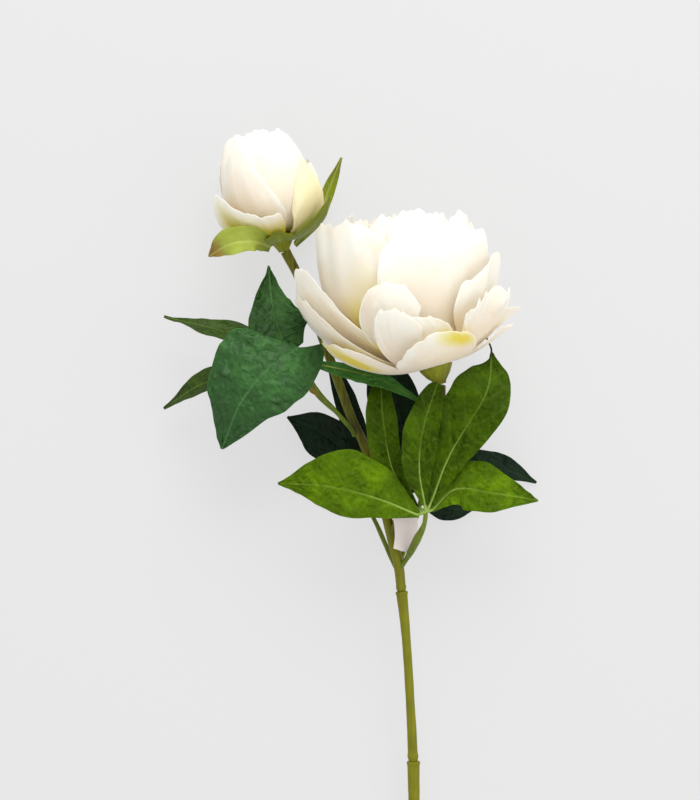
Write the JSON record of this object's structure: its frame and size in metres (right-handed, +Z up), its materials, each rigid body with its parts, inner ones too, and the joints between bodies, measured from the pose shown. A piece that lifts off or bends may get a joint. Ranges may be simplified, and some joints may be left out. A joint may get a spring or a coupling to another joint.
{
  "type": "artificial peony stem",
  "caption": "Artificial cream peony spray with an open bloom, a half-open bud, leaves of several leaflets and a jointed green stem, lying flat.",
  "frame": {"origin": "centre of the base of the bounding box, on the table", "axes": "+Y along the stem from the cut end to the flowers, +Z up from the table, +X to the bloom's right"},
  "size_m": [0.1904, 0.4186, 0.0993],
  "materials": {
    "petal": "matt woven polyester, thin and slightly see-through, cream with a yellow foot",
    "leaf": "printed polyester satin with pressed veins",
    "shade_leaf": "printed polyester satin, darker dye",
    "sepal": "printed polyester, yellow-green with tan tips",
    "stem": "moulded polyethylene over wire, satin olive green",
    "tag": "blank matt label paper"
  },
  "bodies": {
    "root": {"back_leaf_stalk": "stem", "back_low_leaf": "shade_leaf", "back_middle_leaf": "shade_leaf", "back_right_leaf": "shade_leaf", "back_right_leaf_stalk": "stem", "back_tall_leaf": "shade_leaf", "bloom_branch": "stem", "bloom_calyx": "sepal", "bloom_guard_petal_1": "petal", "bloom_guard_petal_2": "petal", "bloom_guard_petal_3": "petal", "bloom_guard_petal_4": "petal", "bloom_guard_petal_5": "petal", "bloom_guard_petal_6": "petal", "bloom_heart": "petal", "bloom_outer_petal_1": "petal", "bloom_outer_petal_2": "petal", "bloom_outer_petal_3": "petal", "bloom_outer_petal_4": "petal", "bloom_outer_petal_5": "petal", "bloom_second_petal_1": "petal", "bloom_second_petal_2": "petal", "bloom_second_petal_3": "petal", "bloom_second_petal_4": "petal", "bloom_second_petal_5": "petal", "bloom_third_petal_1": "petal", "bloom_third_petal_2": "petal", "bloom_third_petal_3": "petal", "bloom_third_petal_4": "petal", "bud_branch": "stem", "bud_calyx": "sepal", "bud_heart": "petal", "bud_inner_petal_1": "petal", "bud_inner_petal_2": "petal", "bud_inner_petal_3": "petal", "bud_outer_petal_1": "petal", "bud_outer_petal_2": "petal", "bud_outer_petal_3": "petal", "left_back_leaf": "shade_leaf", "left_far_leaf": "leaf", "left_front_leaf": "leaf", "left_leaf_stalk": "stem", "left_low_leaf": "leaf", "left_upper_leaf": "leaf", "paper_tag": "tag", "right_inner_leaf": "leaf", "right_leaf_stalk": "stem", "right_low_left_leaf": "leaf", "right_low_right_leaf": "leaf", "right_tall_leaf": "leaf", "right_upright_leaf": "leaf", "sepal_back": "sepal", "sepal_front": "sepal", "sepal_left": "sepal", "sepal_right": "sepal", "sepal_right_far": "sepal", "stem_lower": "stem", "stem_middle": "stem", "stem_upper": "stem", "under_bloom_leaf": "leaf"}
  },
  "joints": []
}
